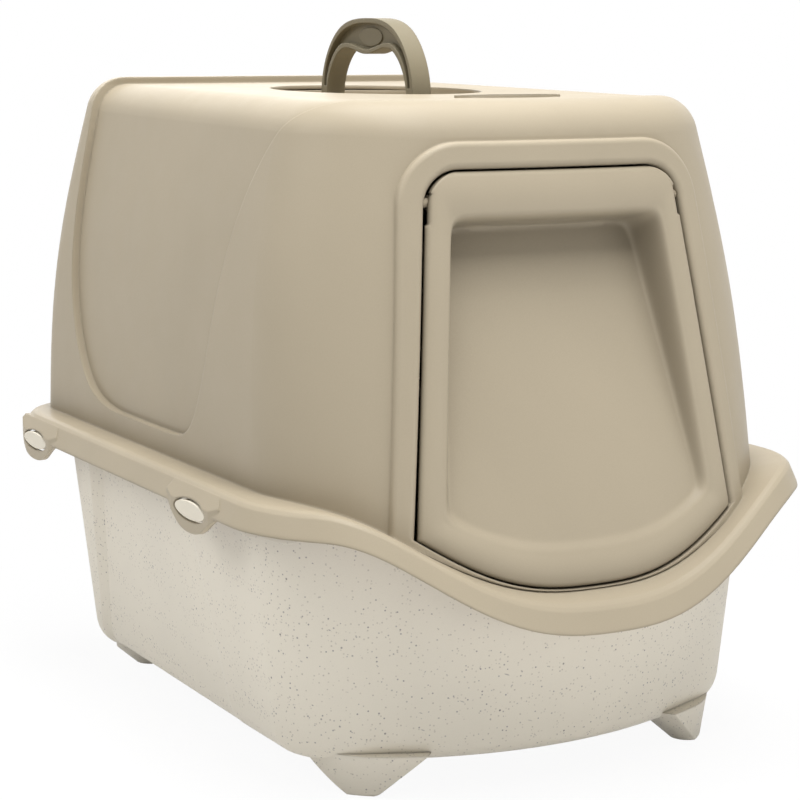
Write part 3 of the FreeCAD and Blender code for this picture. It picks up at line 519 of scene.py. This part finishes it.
def sill_z(x):
    """Height of the doorway's foot, over the dip in the rim."""
    lift = smooth(min(1.0, abs(x) / DIP_HALF) ** DIP_POWER)
    return RIM_TOP - RIM_DIP * (1.0 - lift) + SILL_RISE


def door_half(z):
    """Half the doorway's width."""
    return DOOR_FOOT_HALF - DOOR_LEAN * (z - DOOR_FOOT_Z)


def flap_outline():
    """Grid of places on the flap: rows from foot to head, closer towards the edges."""
    slant = math.sqrt(1.0 + DOOR_LEAN ** 2)
    bend = DOOR_ROUND - FLAP_GAP
    mid_z = DOOR_HEAD_Z - FLAP_GAP - bend
    mid_x = door_half(mid_z) - FLAP_GAP - bend * slant
    reach = mid_x + bend / slant
    grid = []
    for j in range(ROWS + 1):
        t = 0.5 - 0.5 * math.cos(math.pi * j / ROWS)
        row = []
        for i in range(COLUMNS + 1):
            s = math.sin(math.pi * (i / COLUMNS - 0.5))
            x0 = s * (DOOR_FOOT_HALF - FLAP_GAP)
            z0 = sill_z(x0) + FLAP_GAP
            x1 = s * reach
            z1 = mid_z + math.sqrt(max(0.0, bend ** 2 - max(0.0, abs(x1) - mid_x) ** 2))
            row.append((x0 + (x1 - x0) * t, z0 + (z1 - z0) * t))
        grid.append(row)
    return grid


def flap_depth(x, z, behind):
    """How far the flap lies behind its face, in front or, with behind, at its back."""
    side = door_half(z) - FLAP_GAP - abs(x)
    top = DOOR_HEAD_Z - FLAP_GAP - z
    foot = z - sill_z(x) - FLAP_GAP
    edges = (side, top, foot)
    low = sill_z(0.0) + BORDER_FOOT
    share = clamp((z - low) / (DOOR_HEAD_Z - BORDER_TOP - WALL_RUN - low))
    deep = DISH_FOOT + (DISH_TOP - DISH_FOOT) * share
    run = WALL_RUN * (WALL_FOOT + (1.0 - WALL_FOOT) * share)
    into = soft_least([a - b for a, b in zip(edges, BORDERS)], BORDER_BLEND) + behind
    wall = max(0.0, into / run) ** WALL_POWER
    start = soft_least((0.0, 1.0), WALL_BLEND)
    depth = deep * max(0.0, soft_least((wall, 1.0), WALL_BLEND) - start)
    if behind:
        return depth + FLAP_THICK
    across = clamp(soft_least([a / b for a, b in zip(edges, BORDERS)], CROWN_BLEND))
    swell = CROWN * (1.0 - (2.0 * across - 1.0) ** 2)
    near = max(0.0, min(FLAP_EDGE, min(edges)))
    drop = FLAP_EDGE - math.sqrt(FLAP_EDGE ** 2 - (FLAP_EDGE - near) ** 2)
    return depth - swell + drop


def flap_layer(shape, behind):
    """The grid of points of the flap's front or, with behind, of its back."""
    layer = []
    for row in flap_outline():
        verts = []
        for x, z in row:
            y = face_y(x, z) - FACE_LEAD + flap_depth(x, z, behind)
            inner = door_half(z) - FLAP_GAP - SLOT_RUN
            if SLOT_FROM < z < SLOT_TO and abs(x) > inner:
                x = math.copysign(inner + (abs(x) - inner) * (1.0 - SLOT_WIDTH / SLOT_RUN), x)
            verts.append(shape.verts.new((x / MM, y / MM, z / MM)))
        layer.append(verts)
    return layer


def flap_barrel(shape, side):
    """The hinge barrel on one side, -1 or 1."""
    edge = door_half(HINGE_Z) - FLAP_GAP
    barrel = bmesh.ops.create_cone(shape, cap_ends=True, segments=BARREL_SIDES,
                                   radius1=BARREL_RADIUS / MM, radius2=BARREL_RADIUS / MM,
                                   depth=(BARREL_INNER - BARREL_OUTER) / MM)
    turn = Matrix.Rotation(math.pi / 2, 4, "Y")
    x = side * (edge - (BARREL_INNER + BARREL_OUTER) / 2)
    move = Matrix.Translation(Vector((x, HINGE_Y, HINGE_Z)) / MM)
    bmesh.ops.transform(shape, matrix=move @ turn, verts=barrel["verts"])


def flap_panel():
    """The door flap: swollen border that rolls into a dish, deepest at the top."""
    shape = bmesh.new()
    front = flap_layer(shape, 0.0)
    back = flap_layer(shape, FLAP_THICK)
    for j in range(ROWS):
        for i in range(COLUMNS):
            a, b = front[j][i:i + 2]
            d, c = front[j + 1][i:i + 2]
            shape.faces.new((a, b, c, d))
            a, b = back[j][i:i + 2]
            d, c = back[j + 1][i:i + 2]
            shape.faces.new((d, c, b, a))
    loop = [(0, i) for i in range(COLUMNS)] + [(j, COLUMNS) for j in range(ROWS)]
    loop += [(ROWS, i) for i in range(COLUMNS, 0, -1)] + [(j, 0) for j in range(ROWS, 0, -1)]
    for (j, i), (k, n) in zip(loop, loop[1:] + loop[:1]):
        shape.faces.new((front[k][n], front[j][i], back[j][i], back[k][n]))
    for side in (-1, 1):
        flap_barrel(shape, side)
    panel = smooth_piece("flap_panel", shape, PLASTIC["flap"])
    panel.data.set_sharp_from_angle(angle=math.radians(SHARP))
    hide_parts("flap")
    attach(panel, "flap_body")


flap_panel()


def look(obj, along):
    """Turns a lamp or camera along a direction."""
    obj.rotation_euler = Vector(along).to_track_quat("-Z", "Y").to_euler()


def area_light(name, at, target, size, power):
    data = bpy.data.lights.new(name, "AREA")
    data.shape = "RECTANGLE"
    data.size, data.size_y = size
    data.energy = power
    lamp = bpy.data.objects.new(name, data)
    lamp.location = at
    look(lamp, Vector(target) - Vector(at))
    bpy.context.collection.objects.link(lamp)


for lamp in LAMPS:
    area_light(*lamp)


def studio_world():
    """White to the rays that see it, a faint light for the rest."""
    world = bpy.data.worlds.new("studio")
    bpy.context.scene.world = world
    world.use_nodes = True
    tree = world.node_tree
    back = tree.nodes["Background"]
    strength = tree.nodes.new("ShaderNodeMapRange")
    strength.inputs[3].default_value = WORLD_LIGHT
    strength.inputs[4].default_value = 1.0
    tree.links.new(seen_share(tree), strength.inputs[0])
    tree.links.new(strength.outputs[0], back.inputs["Strength"])
    back.inputs["Color"].default_value = (1, 1, 1, 1)


def floor_cover():
    """Pale matt floor that fades to white away from the object."""
    m = Nodes("pale_floor")
    m.shader.inputs["Base Color"].default_value = (FLOOR_LIGHT, FLOOR_LIGHT, FLOOR_LIGHT, 1)
    m.shader.inputs["Roughness"].default_value = 1.0
    m.shader.inputs["Specular IOR Level"].default_value = 0.0
    distance = m.add("ShaderNodeVectorMath", operation="LENGTH")
    m.link(m.place, distance.inputs[0])
    away = m.span(distance.outputs["Value"], SHADOW_FULL, SHADOW_END, SHADOW_LIFT, 1.0, True)
    glow = m.add("ShaderNodeEmission")
    lit = m.add("ShaderNodeMixShader")
    m.link(m.math("MULTIPLY", away, seen_share(m.tree)), lit.inputs[0])
    m.link(m.shader.outputs[0], lit.inputs[1])
    m.link(glow.outputs[0], lit.inputs[2])
    m.link(lit.outputs[0], m.out.inputs[0])
    return m.material


def pale_floor():
    mesh = bpy.data.meshes.new("floor")
    r = FLOOR_HALF
    mesh.from_pydata([(-r, -r, 0), (r, -r, 0), (r, r, 0), (-r, r, 0)], [], [(0, 1, 2, 3)])
    floor = bpy.data.objects.new("floor", mesh)
    floor.location.z = CAD_BOX[0][2] - FLOOR_DROP
    bpy.context.collection.objects.link(floor)
    mesh.materials.append(floor_cover())


def photo_camera():
    lens = bpy.data.cameras.new("camera")
    lens.sensor_fit = "HORIZONTAL"
    lens.angle = math.radians(CAMERA_VIEW)
    lens.clip_end = CAMERA_END
    camera = bpy.data.objects.new("camera", lens)
    camera.location = CAMERA_AT
    look(camera, CAMERA_ALONG)
    bpy.context.collection.objects.link(camera)
    bpy.context.scene.camera = camera


studio_world()
pale_floor()
photo_camera()
bpy.context.scene.view_settings.view_transform = "Standard"
